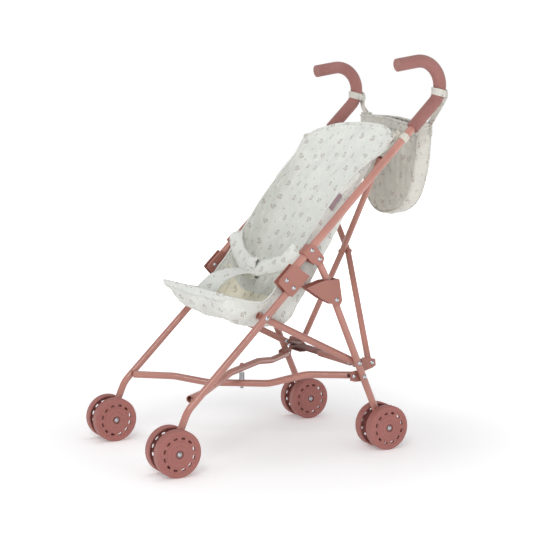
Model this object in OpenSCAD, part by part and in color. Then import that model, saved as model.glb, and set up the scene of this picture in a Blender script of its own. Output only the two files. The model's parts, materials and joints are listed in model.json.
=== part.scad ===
// Doll stroller: a small folding umbrella-type pushchair with two parallel
// side frames, a rear X brace, a lower X brace, a folding rear lock and a
// cotton sling seat. Units are millimetres, +Z is up, the front faces -Y and
// the stroller's own left side is +X. The origin is on the floor, under the
// centre of the whole object's box.

/* [Overall] */
// Distance between the middles of the left and right side frames
track = 220.8; // [200:0.2:240]
// Distance from front axle to rear axle
wheelbase = 324.7; // [316:0.1:332]

/* [Wheels] */
// Outside diameter of each wheel disc
wheel_d = 63; // [58:1:66]
// Width over one pair of discs
pair_w = 43.5; // [40:0.5:46]
// Width of one cup-shaped disc
disc_w = 14.2; // [12:0.2:15]
// Number of slots in each disc face
slot_n = 12; // [8:1:16]
// Axle diameter
axle_d = 4; // [3.6:0.1:4.4]

/* [Frame tubes] */
// Diameter of the handle tubes
handle_d = 11; // [10:0.5:11]
// Diameter of the leg, link and seat tubes
leg_d = 10; // [9:0.5:10]
// Diameter of the rear X brace tubes
brace_d = 9; // [8:0.5:9]
// Wall thickness of every tube
wall = 0.9; // [0.7:0.1:1.2]
// Bend radius of the cane handle's centre line
cane_r = 34; // [32:1:36]

/* [Grips] */
// Outside diameter of the foam grips
grip_d = 18.4; // [17:0.2:20]

/* [Brackets] */
// Sheet thickness of the folded steel brackets
plate_t = 1.4; // [1:0.1:1.6]
// Head diameter of the domed rivets
rivet_d = 6.6; // [6:0.2:7]

/* [Soft parts] */
// Thickness of the sling fabric layers
cloth_t = 3; // [2:0.5:4]

/* [Hidden] */
wheel_r = wheel_d / 2;
xs = track / 2;
yf = -wheelbase / 2;
yr = wheelbase / 2;
hr = handle_d / 2;
lr = leg_d / 2;
br = brace_d / 2;
pin_r = 1.5;
hole_r = 1.56;
axle_r = axle_d / 2;
// pivots of one side frame, as [y, z] with y counted from mid wheelbase
P1 = [2.5, 248.4];          // handle tube in the elbow plate
P2 = [13.46, 237.44];       // front leg in the elbow plate
B1 = [41.5, 287.4];         // upper bracket on the handle tube
B2 = [53.8, 275.1];         // upper link in the upper bracket
PA = [-26, 197.98];         // seat tube on the front leg
PD = [121.5, 125];          // seat tube on the rear leg
PT = [81, 217.6];           // rear leg in the knee plate
PL = [77.6, 229];           // lower end of the upper link
cane_c = [219, 513];        // centre of the cane bend
tip = [182, 540];           // end of the cane
FB = [-141.5, 82.5];        // knee of the front leg
E1 = [-129.5, 95];          // lower brace on the front leg
E2 = [119.5, 105];          // lower brace on the rear leg
U1 = [163, 409];            // rear brace on the handle tube
V1 = [149, 122];            // rear brace behind the rear leg
RB = [130.2, 105];          // rivet of the rear bracket
XC = [166.8, 271.4];        // crossing of the rear brace
xe = xs - 16;               // plane of the lower brace ends
xu = xs - 15;               // plane of the rear brace ends
gr = grip_d / 2;
kx = 7.3;      // half the inside width of the knee plate
xk = xs - 24;   // hinge of each lock arm
yk = 126;
zk = 121;
y_front = yf - wheel_r;
y_back = cane_c[0] + cane_r + gr;
y_mid = -(y_front + y_back) / 2;
fn = 48;
lap = 0.4;      // straight runs reach this far into a bend
slack = 0.02;   // a bend is this much thinner than its straight runs

// ---------- helpers ----------
function unit(v) = v / norm(v);
function ortho(d) = unit(cross(d, abs(d[0]) < 0.9 ? [1, 0, 0] : [0, 1, 0]));
module place() { translate([0, y_mid, 0]) children(); }
// children modelled on the left side, mirrored for the right one
module side(s) { place() mirror([s < 0 ? 1 : 0, 0, 0]) children(); }
// local frame at point p with its z axis along d and its x axis along e
module at(p, d, e) {
  z = unit(d); x = unit(e - (e * z) * z); y = cross(z, x);
  multmatrix([[x[0], y[0], z[0], p[0]], [x[1], y[1], z[1], p[1]], [x[2], y[2], z[2], p[2]], [0, 0, 0, 1]]) children();
}
module rod(a, b, r) { at(a, b - a, ortho(unit(b - a))) cylinder(h = norm(b - a), r = r, $fn = fn); }
// tangent length at corner i of a filleted route
function tl(p, i, R) = let (d1 = unit(p[i] - p[i - 1]), d2 = unit(p[i + 1] - p[i]), t = acos(max(-1, min(1, d1 * d2)))) R * tan(t / 2);
// round bar along a polyline whose corners are filleted with radii rad[i]
module bar(p, rad, r) {
  n = len(p);
  for (i = [0:n - 2]) {
    d = unit(p[i + 1] - p[i]);
    a = i == 0 ? p[0] : p[i] + d * (tl(p, i, rad[i]) - lap);
    b = i == n - 2 ? p[n - 1] : p[i + 1] - d * (tl(p, i + 1, rad[i + 1]) - lap);
    rod(a, b, r);
  }
  for (i = [1:n - 2]) {
    d1 = unit(p[i] - p[i - 1]); d2 = unit(p[i + 1] - p[i]);
    t = acos(d1 * d2); a = p[i] - d1 * tl(p, i, rad[i]);
    ax = unit(cross(d1, d2)); c = a + cross(ax, d1) * rad[i];
    at(c, ax, a - c) rotate_extrude(angle = t, $fn = 96) translate([rad[i], 0]) circle(r = r - slack, $fn = fn);
  }
}
// hollow tube: a bar with a bar taken out of it
module tube(p, rad, r, w = wall) { difference() { bar(p, rad, r); bar_long(p, rad, r - w); } }
// the same route with both ends run a little further, for the bore
module bar_long(p, rad, r) {
  n = len(p); e = 1;
  bar([for (i = [0:n - 1]) i == 0 ? p[0] - unit(p[1] - p[0]) * e : i == n - 1 ? p[n - 1] + unit(p[n - 1] - p[n - 2]) * e : p[i]], rad, r);
}
// cross bore along x through a side frame pivot
module xbore(c, r = hole_r) { translate([xs - 30, c[0], c[1]]) rotate([0, 90, 0]) cylinder(h = 60, r = r, $fn = 32); }
// bore through the inner wall only
module inner_bore(c) { translate([xs - 20, c[0], c[1]]) rotate([0, 90, 0]) cylinder(h = 20, r = hole_r, $fn = 32); }
function P3(x, c) = [x, c[0], c[1]];
// plate outline in the y z plane, between x0 and x1
module yz_plate(x0, x1, pts) { translate([x0, 0, 0]) rotate([90, 0, 90]) linear_extrude(height = x1 - x0) polygon(pts); }
// point given along the handle line (u up the tube, n to the front) from c
function un(c, u, n) = [c[0] + (u - n) * sqrt(0.5), c[1] + (u + n) * sqrt(0.5)];
module rivet(x0, x1, c, head_in = true) {
  // shank and two domed heads, outer head at x1
  translate([x0, c[0], c[1]]) rotate([0, 90, 0]) cylinder(h = x1 - x0, r = pin_r, $fn = 32);
  translate([x1, c[0], c[1]]) rotate([0, 90, 0]) dome(rivet_d / 2, 2.2);
  if (head_in) translate([x0, c[0], c[1]]) rotate([0, -90, 0]) dome(rivet_d / 2 - 0.3, 1.6);
}
// low dome standing on z = 0
module dome(r, h) {
  R = (r * r + h * h) / (2 * h);
  intersection() { translate([0, 0, h - R]) sphere(r = R, $fn = 64); cylinder(h = h + 1, r = r, $fn = fn); }
}

// ---------- handle ----------
cane_t = [cane_c[0] + cane_r * cos(45), cane_c[1] - cane_r * sin(45)];
function cane_pt(a, r = cane_r) = [cane_c[0] + r * cos(a), cane_c[1] + r * sin(a)];
cane_end = 100.7;
module cane_arc(r, a0, a1, x = 0) {
  translate([x, cane_c[0], cane_c[1]]) rotate([90, 0, 90]) rotate([0, 0, a0]) rotate_extrude(angle = a1 - a0, $fn = 96) translate([cane_r, 0]) circle(r = r - slack, $fn = fn);
}
tip_d = [-sin(cane_end), cos(cane_end)];
tip_len = 30.5;
cane_u = [sqrt(0.5), sqrt(0.5)];
module handle_solid(r, e = 0) {
  rod(P3(xs, un(P1, -6.5 - e, 0)), P3(xs, cane_t + cane_u * lap), r);
  cane_arc(r, -45, cane_end, xs);
  rod(P3(xs, cane_pt(cane_end) - tip_d * lap), P3(xs, cane_pt(cane_end) + tip_d * (tip_len + e)), r);
}
module handle_tube() color([0.73, 0.48, 0.43]) difference() {
  handle_solid(hr);
  handle_solid(hr - wall, 1);
  xbore(P1); xbore(B1);
  inner_bore(U1);
}
grip_start = un(P1, 289.5, 0);
module grip() color([0.58, 0.37, 0.36]) difference() {
  union() {
    rod(P3(xs, grip_start), P3(xs, cane_t + cane_u * lap), gr);
    cane_arc(gr, -45, cane_end, xs);
    rod(P3(xs, cane_pt(cane_end) - tip_d * lap), P3(xs, cane_pt(cane_end) + tip_d * (tip_len + 3)), gr);
  }
  rod(P3(xs, un(P1, 280, 0)), P3(xs, cane_t + cane_u * lap), hr + 0.06);
  cane_arc(hr + 0.06, -45, cane_end, xs);
  rod(P3(xs, cane_pt(cane_end) - tip_d * lap), P3(xs, cane_pt(cane_end) + tip_d * (tip_len + 0.05)), hr + 0.06);
}
// U shaped bracket wrapped round the front of the handle tube
module upper_bracket() color([0.68, 0.41, 0.38]) difference() {
  union() {
    for (k = [-1, 1]) yz_plate(k > 0 ? xs + hr + 0.2 : xs - hr - 0.2 - plate_t, k > 0 ? xs + hr + 0.2 + plate_t : xs - hr - 0.2,
      [un(B1, -12, hr + 1.6), un(B1, 4, hr + 1.6), un(B1, 8, 0), un(B1, 6.5, -21), un(B1, 0, -25), un(B1, -8, -22), un(B1, -12, -12)]);
    yz_plate(xs - hr - 0.2 - plate_t, xs + hr + 0.2 + plate_t, [un(B1, -12, hr + 0.2), un(B1, 4, hr + 0.2), un(B1, 4, hr + 1.6), un(B1, -12, hr + 1.6)]);
  }
  xbore(B1); xbore(B2);
}
module handle_rivets() color([0.82, 0.82, 0.83]) {
  rivet(xs - hr - 0.2 - plate_t, xs + hr + 0.2 + plate_t, B1);
  rivet(xs - hr - 0.2 - plate_t, xs + hr + 0.2 + plate_t, B2);
  // inboard pin that carries the rear brace
  translate([xs - hr - 0.35, U1[0], U1[1]]) rotate([0, 90, 0]) cylinder(h = 3, r = pin_r, $fn = 32);
}

// ---------- front leg ----------
module front_leg() color([0.73, 0.48, 0.43]) difference() {
  tube([P3(xs, P2 + unit(P2 - PA) * 5.5), P3(xs, FB), P3(xs, [yf, wheel_r] + unit([yf, wheel_r] - FB) * 5)], [0, 45, 0], lr);
  xbore(P2); xbore(PA); inner_bore(E1); xbore([yf, wheel_r], axle_r + 0.03);
}
// folded steel elbow: two cheeks joined by a web behind the tubes, open in front
module elbow_plate() color([0.68, 0.41, 0.38]) difference() {
  union() {
    for (k = [-1, 1]) yz_plate(k > 0 ? xs + hr + 0.2 : xs - hr - 0.2 - plate_t, k > 0 ? xs + hr + 0.2 + plate_t : xs - hr - 0.2,
      [un(P1, -11, 7), un(P1, 23, 7), un(P1, 28, -22.5), un(P1, -10, -22.5), un(P1, -12, -18)]);
    yz_plate(xs - hr - 0.2 - plate_t, xs + hr + 0.2 + plate_t, [un(P1, -10, -22.5), un(P1, 28, -22.5), un(P1, 28, -21.1), un(P1, -10, -21.1)]);
  }
  xbore(P1); xbore(P2);
}
module front_rivets() color([0.82, 0.82, 0.83]) {
  rivet(xs - hr - 0.2 - plate_t, xs + hr + 0.2 + plate_t, P1);
  rivet(xs - hr - 0.2 - plate_t, xs + hr + 0.2 + plate_t, P2);
  rivet(xs - lr + 0.1, xs + lr + 0.03, PA, false);
}
// collar and pin on the inside of the leg that take the end of a lower brace arm
module front_brace_bracket() color([0.68, 0.41, 0.38]) union() {
  translate([xs - lr - 2.4, E1[0], E1[1]]) rotate([0, 90, 0]) cylinder(h = 4, r = pin_r, $fn = 32);
  translate([xs - lr - 2.4, E1[0], E1[1]]) rotate([0, 90, 0]) cylinder(h = 2.3, r = 4, $fn = 32);
}

// ---------- seat tube ----------
xseat = xs - lr - 0.3 - lr;
module seat_tube() color([0.73, 0.48, 0.43]) difference() {
  tube([P3(xseat, PA + unit(PA - PD) * 7), P3(xseat, PD + unit(PD - PA) * 7)], [0, 0], lr);
  xbore(PD, pin_r + 0.09);
}

// ---------- rear leg, knee and upper link ----------
module rear_leg() color([0.73, 0.48, 0.43]) difference() {
  tube([P3(xs, PT + unit(PT - PD) * 5), P3(xs, [yr, wheel_r] + unit([yr, wheel_r] - PT) * 5)], [0, 0], lr);
  xbore(PT); xbore(PD); xbore(RB); xbore([yr, wheel_r], axle_r + 0.03);
}
module upper_link() color([0.73, 0.48, 0.43]) difference() {
  tube([P3(xs, B2 + unit(B2 - PL) * 5.5), P3(xs, PL)], [0, 0], lr);
  xbore(B2, pin_r + 0.09);
}
// two cheeks joined by a web behind the tubes; the handle tube and the elbow
// plate pass between the cheeks when the frame is folded
module knee_plate() color([0.68, 0.41, 0.38]) difference() {
  union() {
    for (k = [-1, 1]) yz_plate(k > 0 ? xs + kx : xs - kx - plate_t, k > 0 ? xs + kx + plate_t : xs - kx,
      [[32.5, 236.6], [60.2, 245.2], [84.4, 246.3], [89.4, 216], [86, 209.6], [76, 210.6], [56, 220.6]]);
    yz_plate(xs - kx - plate_t, xs + kx + plate_t, [[84.4, 246.3], [83, 246.3], [88, 216], [89.4, 216]]);
    // bosses that hold the link
    for (k = [-1, 1]) translate([k > 0 ? xs + lr + 0.03 : xs - kx - 0.1, 75.2, 233.6]) rotate([0, 90, 0]) cylinder(h = kx + 0.07 - lr, r = 3, $fn = 32);
  }
  xbore(PT);
}
// rear bracket: a plate on the inner side of the leg that carries both rear
// braces, with a tab across for the lock arms
module rear_brace_bracket() color([0.68, 0.41, 0.38]) {
  difference() {
    union() {
      yz_plate(xs - lr - 1.6, xs - lr - 0.2, [[113, 99], [113, 110], [119, 112.6], [131.6, 113], [132.4, 131], [145, 129.4], [154, 127], [155, 118], [150, 115], [136, 111], [134, 100], [130, 97], [121, 97]]);
      translate([xk - 6, 131.6, zk - 7]) cube([xs - lr - 0.2 - xk + 6, plate_t, 14.6]);
    }
    xbore(E2); xbore(V1); xbore(RB);
    translate([xk, 120, zk]) rotate([-90, 0, 0]) cylinder(h = 20, r = hole_r, $fn = 32);
  }
}
module rear_rivets() color([0.82, 0.82, 0.83]) {
  union() {
    rivet(xs - kx - plate_t, xs + kx + plate_t, PT);
    for (k = [-1, 1]) translate([k > 0 ? xs + lr + 0.1 : xs - kx + 0.1, PT[0], PT[1]]) rotate([0, 90, 0]) cylinder(h = kx - lr - 0.2, r = 3.2, $fn = 32);
  }
  rivet(xs - 15.4, xs + lr + 0.03, PD);
  rivet(xs - lr - 1.6, xs + lr + 0.03, RB);
  // pins that carry the lower and the rear brace
  for (c = [E2, V1]) {
    translate([c == E2 ? xe + 0.6 : xu + 0.6, c[0], c[1]]) rotate([0, 90, 0]) cylinder(h = xs - lr - 0.2 - (c == E2 ? xe + 0.6 : xu + 0.6), r = pin_r, $fn = 32);
    translate([xs - lr - 0.2, c[0], c[1]]) rotate([0, 90, 0]) dome(3.2, 1.8);
  }
  // hinge pin of the lock arm, along y
  translate([xk, 121.5, zk]) rotate([-90, 0, 0]) cylinder(h = 12, r = pin_r, $fn = 32);
  translate([xk, 121.55, zk]) rotate([90, 0, 0]) dome(3, 1.4);
}

// ---------- axles and wheels ----------
module axle(c) color([0.82, 0.82, 0.83]) {
  w = pair_w / 2;
  translate([xs - w + 2, c, wheel_r]) rotate([0, 90, 0]) cylinder(h = 2 * w - 4, r = axle_r, $fn = 32);
  for (k = [-1, 1]) translate([xs + k * (w - 2), c, wheel_r]) rotate([0, k * 90, 0]) {
    translate([0, 0, -0.1]) cylinder(h = 1.5, r = 3.4, $fn = fn);
    translate([0, 0, 1.3]) dome(3.1, 1.9);
  }
}
// cup-shaped disc: its axis is x, its closed face is turned away from the leg
module disc() color([0.67, 0.41, 0.39]) difference() {
  rotate([0, 90, 0]) union() {
    rotate_extrude($fn = 128) polygon([[axle_r + 0.06, 0], [5, 0], [5, disc_w - 6.2], [26, disc_w - 4.6], [28.6, disc_w - 3.6], [28.9, 0.4], [29.4, 0],
      [wheel_r - 1.2, 0], [wheel_r, 1.2], [wheel_r, disc_w - 2.6], [wheel_r - 0.8, disc_w - 1.2], [wheel_r - 2.4, disc_w - 0.4], [25.6, disc_w - 0.6],
      [25.2, disc_w - 1.1], [17.6, disc_w - 1.1], [17.2, disc_w - 0.5], [11.4, disc_w - 0.5], [11, disc_w], [5.6, disc_w], [5.2, disc_w - 2.4], [axle_r + 0.06, disc_w - 2.4]]);
  }
  for (i = [0:slot_n - 1]) rotate([i * 360 / slot_n + 15, 0, 0]) translate([-1, 0, 21.3]) rotate([0, 90, 0]) {
    translate([-1.6, -1.5, 0]) cube([3.2, 3, disc_w + 4]);
    for (k = [-1, 1]) translate([0, k * 1.5, 0]) cylinder(h = disc_w + 4, r = 1.6, $fn = 24);
  }
}
module wheel(c, out) translate([xs, c, wheel_r]) mirror([out ? 0 : 1, 0, 0]) translate([pair_w / 2 - disc_w, 0, 0]) disc();

// ---------- rear X brace ----------
brace_gap = 1;
// k = -1 runs in front, k = 1 behind; upper end on the left, lower end on the right
module brace_route(k, r, e) {
  M = [0, XC[0] + k * (br + brace_gap / 2), XC[1]];
  top = [xu, U1[0], U1[1]]; low = [-xu, V1[0], V1[1]];
  bar([top + unit(top - M) * (3.5 + e), M, low + unit(low - M) * (3.5 + e)], [0, 60, 0], r);
}
module back_arm(k) difference() {
  union() {
    brace_route(k, br, 0);
    translate([0, XC[0] + k * (2 * br + brace_gap / 2 - 0.9), XC[1]]) rotate([-90 * k, 0, 0]) dome(3.4, 3);
  }
  brace_route(k, br - wall, 1);
  // open side that sits over the pin of the rear bracket
  translate([-xu - 11.5, V1[0] - 2.4, V1[1] - 10]) cube([12, 4.8, 16]);
}
module back_brace_front_arm() color([0.7, 0.45, 0.4]) place() back_arm(-1);
module back_brace_rear_arm() color([0.7, 0.45, 0.4]) place() mirror([1, 0, 0]) back_arm(1);

// ---------- lower X brace ----------
// straight ends on the frames, a dip or a hump where the arms pass each other
function low_pt(x, z) = [x, E1[0] + (x + xe) / (2 * xe) * (E2[0] - E1[0]), z];
low_mid = 87;
high_mid = 110.5;
module low_route(r, e) bar([low_pt(-xe - 1.8 - e, E1[1]), low_pt(-xe + 34, E1[1] - 0.4), low_pt(-30, low_mid), low_pt(24, low_mid + 1.5), low_pt(56, E2[1] - 1.5), low_pt(xe + 1.8 + e, E2[1])],
  [0, 55, 60, 60, 55, 0], r);
module high_route(r, e) bar([low_pt(-xe - 1.8 - e, E1[1]), low_pt(-xe + 22, E1[1] + 1), low_pt(-22, high_mid - 1), low_pt(34, high_mid), low_pt(62, E2[1] - 0.6), low_pt(xe + 1.8 + e, E2[1])],
  [0, 50, 60, 50, 50, 0], r);
module low_cuts() {
  translate([xe - 0.6, E2[0] - 6, E2[1] - 2.4]) cube([12, 16, 4.8]);
}
xc = low_pt(0, 0)[1];
module lower_brace_low_arm() color([0.73, 0.48, 0.43]) place() difference() {
  low_route(lr, 0); low_route(lr - wall, 1); low_cuts();
  translate([0, xc, 70]) cylinder(h = 26, r = hole_r, $fn = 32);
}
module lower_brace_high_arm() color([0.7, 0.45, 0.4]) place() mirror([1, 0, 0]) difference() {
  union() {
    high_route(lr, 0);
    translate([0, xc, high_mid + lr - 0.6]) dome(3.6, 2.6);
  }
  high_route(lr - wall, 1); low_cuts();
}
// steel pin with a coil-wound spacer between the two arms
module brace_spacer() color([0.62, 0.65, 0.7]) place() translate([0, xc, 0]) {
  translate([0, 0, low_mid - lr - 0.6]) cylinder(h = high_mid - low_mid - 1, r = pin_r, $fn = 32);
  translate([0, 0, low_mid - lr - 0.4]) mirror([0, 0, 1]) dome(3.4, 2);
  difference() {
    union() {
      translate([0, 0, low_mid + lr + 0.9]) cylinder(h = high_mid - low_mid - 2 * lr - 2.6, r = 3.4, $fn = fn);
      for (i = [0:4]) translate([0, 0, low_mid + lr + 2.2 + i * 2]) rotate_extrude($fn = fn) translate([3.3, 0]) circle(r = 0.85, $fn = 24);
    }
    translate([0, 0, 80]) cylinder(h = 40, r = pin_r - 0.01, $fn = 32);
  }
}

// ---------- folding rear lock ----------
// flat bar that lies in front of the right arm
module lock_arm_left() color([0.68, 0.41, 0.38]) place() difference() {
  union() {
    translate([0, yk - 3.4, zk - 4]) cube([xk, 6.8, 8]);
    for (x = [0, xk]) translate([x, yk - 3.4, zk]) rotate([-90, 0, 0]) cylinder(h = 6.8, r = 4, $fn = 32);
    // foot tab
    translate([52, yk - 3.4, zk + 3.9]) cube([9, 2.4, 8]);
  }
  translate([xk, yk - 10, zk]) rotate([-90, 0, 0]) cylinder(h = 20, r = hole_r, $fn = 32);
}
// upright web with two flanges near its hinge, and a rivet head at the middle
module lock_arm_right() color([0.55, 0.3, 0.28]) place() difference() {
  union() {
    translate([-xk, yk + 3.8, zk - 5]) cube([xk, 1.4, 10]);
    for (x = [-xk, 0]) translate([x, yk + 3.8, zk]) rotate([-90, 0, 0]) cylinder(h = 1.4, r = 5, $fn = 32);
    for (z = [zk - 6.2, zk + 4.9]) translate([-xk, yk - 5.2, z]) cube([34, 10.4, 1.3]);
    translate([0, yk + 5.15, zk]) rotate([-90, 0, 0]) dome(3, 1.6);
  }
  translate([-xk, yk - 10, zk]) rotate([-90, 0, 0]) cylinder(h = 20, r = hole_r, $fn = 32);
}

// ---------- sling seat ----------
xf = xs - 19;   // half the inner width of the sling
// side view of the sheet, from the top hem down the back and forward to the front hem
SB = [[174, 458], [170, 452], [142, 404], [117, 349], [103, 321], [87, 294], [74, 269], [60, 246], [48, 226], [34, 204], [20, 188.5], [16, 193], [28, 208], [42, 229], [54, 249], [68, 272], [81, 297], [97, 324], [111, 352], [136, 407], [162, 454]];
module seat_back() color([0.88, 0.89, 0.86]) place() translate([-xf + 0.5, 0, 0]) yz_plate(0, 2 * xf - 1, SB);
// seat: the bottom of the sling and the upright front hem
SS = [[15, 185.5], [-42, 183], [-60, 192], [-80, 207], [-84, 229], [-80.5, 230], [-76.5, 211], [-57, 198], [-40, 190], [11, 191.5]];
module seat_base() color([0.86, 0.87, 0.84]) place() translate([-xf, 0, 0]) yz_plate(0, 2 * xf, SS);
SW = [[84, 354], [46, 303], [20, 262], [0, 240], [-26, 216], [-52, 221], [-76, 228], [-80, 212], [-57, 199], [-40, 191.5], [12, 193], [30, 212], [56, 253], [82, 299], [108, 346]];
module seat_side() color([0.88, 0.89, 0.86]) yz_plate(xf + 0.1, xf + 3, SW);
module crotch_strap() color([0.86, 0.86, 0.83]) place() yz_plate(-14, 14, [[-73, 226], [-50, 243], [-20, 253], [20, 259], [20, 262], [-22, 256.5], [-53, 246], [-76, 228.5]]);
module label_patch() color([0.62, 0.5, 0.52]) place() translate([xf + 7.5, 0, 0]) yz_plate(0, 1, [[85, 362.1], [92, 356.5], [77, 337.9], [70, 343.5]]);
LE = un(P1, 266, 0);
module elastic_loop() color([0.9, 0.88, 0.84]) difference() {
  translate([xs, LE[0], LE[1]]) rotate([-45, 0, 0]) cylinder(h = 7, r = hr + 1.2, $fn = fn);
  translate([xs, LE[0], LE[1]]) rotate([-45, 0, 0]) translate([0, 0, -1]) cylinder(h = 9, r = hr + 0.05, $fn = fn);
}

// ---------- storage bag behind the handles ----------
// pouch outline in x and z, deep in the middle
BO = [[-88, 464], [-87, 440], [-84, 412], [-78, 384], [-68, 360], [-52, 342], [-28, 331], [0, 328], [28, 331], [52, 342], [68, 360], [78, 384], [84, 412], [87, 440], [88, 464]];
BI = [[-85, 470], [-84, 440], [-81, 413], [-75.3, 385.5], [-65.6, 362.4], [-50.4, 345], [-27.2, 334], [0, 331], [27.2, 334], [50.4, 345], [65.6, 362.4], [75.3, 385.5], [81, 413], [84, 440], [85, 470]];
module xz_plate(y0, y1, pts) translate([0, y1, 0]) rotate([90, 0, 0]) linear_extrude(height = y1 - y0) polygon(pts);
module storage_bag() color([0.84, 0.83, 0.79]) place() difference() {
  xz_plate(229, 260, BO);
  xz_plate(231.5, 257.5, BI);
}
// band turned square to the cane, cut to the round of the grip
loop_deg = 16.2;
LB = [cane_c[0] + cane_r * cos(loop_deg), cane_c[1] - cane_r * sin(loop_deg)];
module bag_loop() color([0.84, 0.83, 0.79]) difference() {
  translate([xs, LB[0], LB[1]]) rotate([-loop_deg, 0, 0]) translate([0, 0, -4.5]) cylinder(h = 9, r = gr + 1.7, $fn = fn);
  cane_arc(gr + 0.1, -45, cane_end, xs);
}

side(1) handle_tube();  // handle_tube_left
side(-1) handle_tube();  // handle_tube_right
side(1) grip();  // grip_left
side(-1) grip();  // grip_right
side(1) upper_bracket();  // upper_bracket_left
side(-1) upper_bracket();  // upper_bracket_right
side(1) handle_rivets();  // handle_rivets_left
side(-1) handle_rivets();  // handle_rivets_right
side(1) front_leg();  // front_leg_left
side(-1) front_leg();  // front_leg_right
side(1) elbow_plate();  // elbow_plate_left
side(-1) elbow_plate();  // elbow_plate_right
side(1) front_brace_bracket();  // front_brace_bracket_left
side(-1) front_brace_bracket();  // front_brace_bracket_right
side(1) front_rivets();  // front_rivets_left
side(-1) front_rivets();  // front_rivets_right
side(1) axle(yf);  // front_axle_left
side(-1) axle(yf);  // front_axle_right
side(1) seat_tube();  // seat_tube_left
side(-1) seat_tube();  // seat_tube_right
side(1) upper_link();  // upper_link_left
side(-1) upper_link();  // upper_link_right
side(1) knee_plate();  // knee_plate_left
side(-1) knee_plate();  // knee_plate_right
side(1) rear_leg();  // rear_leg_left
side(-1) rear_leg();  // rear_leg_right
side(1) rear_brace_bracket();  // rear_brace_bracket_left
side(-1) rear_brace_bracket();  // rear_brace_bracket_right
side(1) rear_rivets();  // rear_rivets_left
side(-1) rear_rivets();  // rear_rivets_right
side(1) axle(yr);  // rear_axle_left
side(-1) axle(yr);  // rear_axle_right
side(1) wheel(yf, true);  // front_wheel_outer_left
side(1) wheel(yf, false);  // front_wheel_inner_left
side(-1) wheel(yf, false);  // front_wheel_inner_right
side(-1) wheel(yf, true);  // front_wheel_outer_right
side(1) wheel(yr, true);  // rear_wheel_outer_left
side(1) wheel(yr, false);  // rear_wheel_inner_left
side(-1) wheel(yr, false);  // rear_wheel_inner_right
side(-1) wheel(yr, true);  // rear_wheel_outer_right
back_brace_front_arm();
back_brace_rear_arm();
lower_brace_low_arm();
lower_brace_high_arm();
brace_spacer();
lock_arm_left();
lock_arm_right();
seat_back();
seat_base();
side(1) seat_side();  // seat_side_left
side(-1) seat_side();  // seat_side_right
crotch_strap();
label_patch();
side(1) elastic_loop();  // elastic_loop_left
side(-1) elastic_loop();  // elastic_loop_right
storage_bag();
side(1) bag_loop();  // bag_loop_left
side(-1) bag_loop();  // bag_loop_right
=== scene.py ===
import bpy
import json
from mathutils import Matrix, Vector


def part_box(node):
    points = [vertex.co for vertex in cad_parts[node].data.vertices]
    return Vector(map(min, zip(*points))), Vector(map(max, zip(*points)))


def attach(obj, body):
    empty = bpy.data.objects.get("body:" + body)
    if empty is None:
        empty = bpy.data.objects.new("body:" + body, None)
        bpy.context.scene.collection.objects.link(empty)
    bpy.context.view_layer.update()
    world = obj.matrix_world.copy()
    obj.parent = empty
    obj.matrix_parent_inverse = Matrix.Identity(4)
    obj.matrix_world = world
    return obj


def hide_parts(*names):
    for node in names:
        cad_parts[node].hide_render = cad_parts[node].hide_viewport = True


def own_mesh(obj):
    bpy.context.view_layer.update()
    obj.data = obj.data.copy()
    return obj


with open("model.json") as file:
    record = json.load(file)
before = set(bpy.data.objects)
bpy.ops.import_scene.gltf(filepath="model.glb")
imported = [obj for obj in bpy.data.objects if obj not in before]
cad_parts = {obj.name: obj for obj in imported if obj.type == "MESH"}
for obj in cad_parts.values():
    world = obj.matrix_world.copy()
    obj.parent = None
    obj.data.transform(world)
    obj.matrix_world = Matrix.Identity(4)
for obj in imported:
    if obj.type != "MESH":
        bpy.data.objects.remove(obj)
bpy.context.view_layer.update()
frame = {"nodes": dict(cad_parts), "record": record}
import bpy, bmesh, math, json
import numpy as np
from mathutils import Vector, Matrix

nodes = frame["nodes"]
rec = frame["record"]
joints = {j["name"]: j for j in rec["behaviour"]["joints"]}

# ---------------------------------------------------------------- reference points, in mm
def bx(n):
    lo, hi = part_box(n)
    return np.array(lo) * 1000, np.array(hi) * 1000
def mid(n):
    lo, hi = bx(n)
    return (lo + hi) / 2
XS = (mid("handle_tube_left")[0] - mid("handle_tube_right")[0]) / 2      # half track
Y0 = (mid("front_axle_left")[1] + mid("rear_axle_left")[1]) / 2          # middle of the wheelbase
WR = mid("front_axle_left")[2]                                          # wheel radius
B2 = np.array(joints["handle_pivot_left"]["pos_m"]) * 1000
P1 = np.array(joints["front_pivot_left"]["pos_m"]) * 1000
PD = np.array(joints["seat_tube_pivot_left"]["pos_m"]) * 1000
U = np.array([0, math.sqrt(0.5), math.sqrt(0.5)])                        # up the handle tube
N = np.array([0, -math.sqrt(0.5), math.sqrt(0.5)])                       # to the front of it
rng = np.random.default_rng(7)

def W(x, y, z):
    """mm, y counted from the middle of the wheelbase -> metres in the row frame"""
    return np.array([x, y + Y0, z]) / 1000

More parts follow.
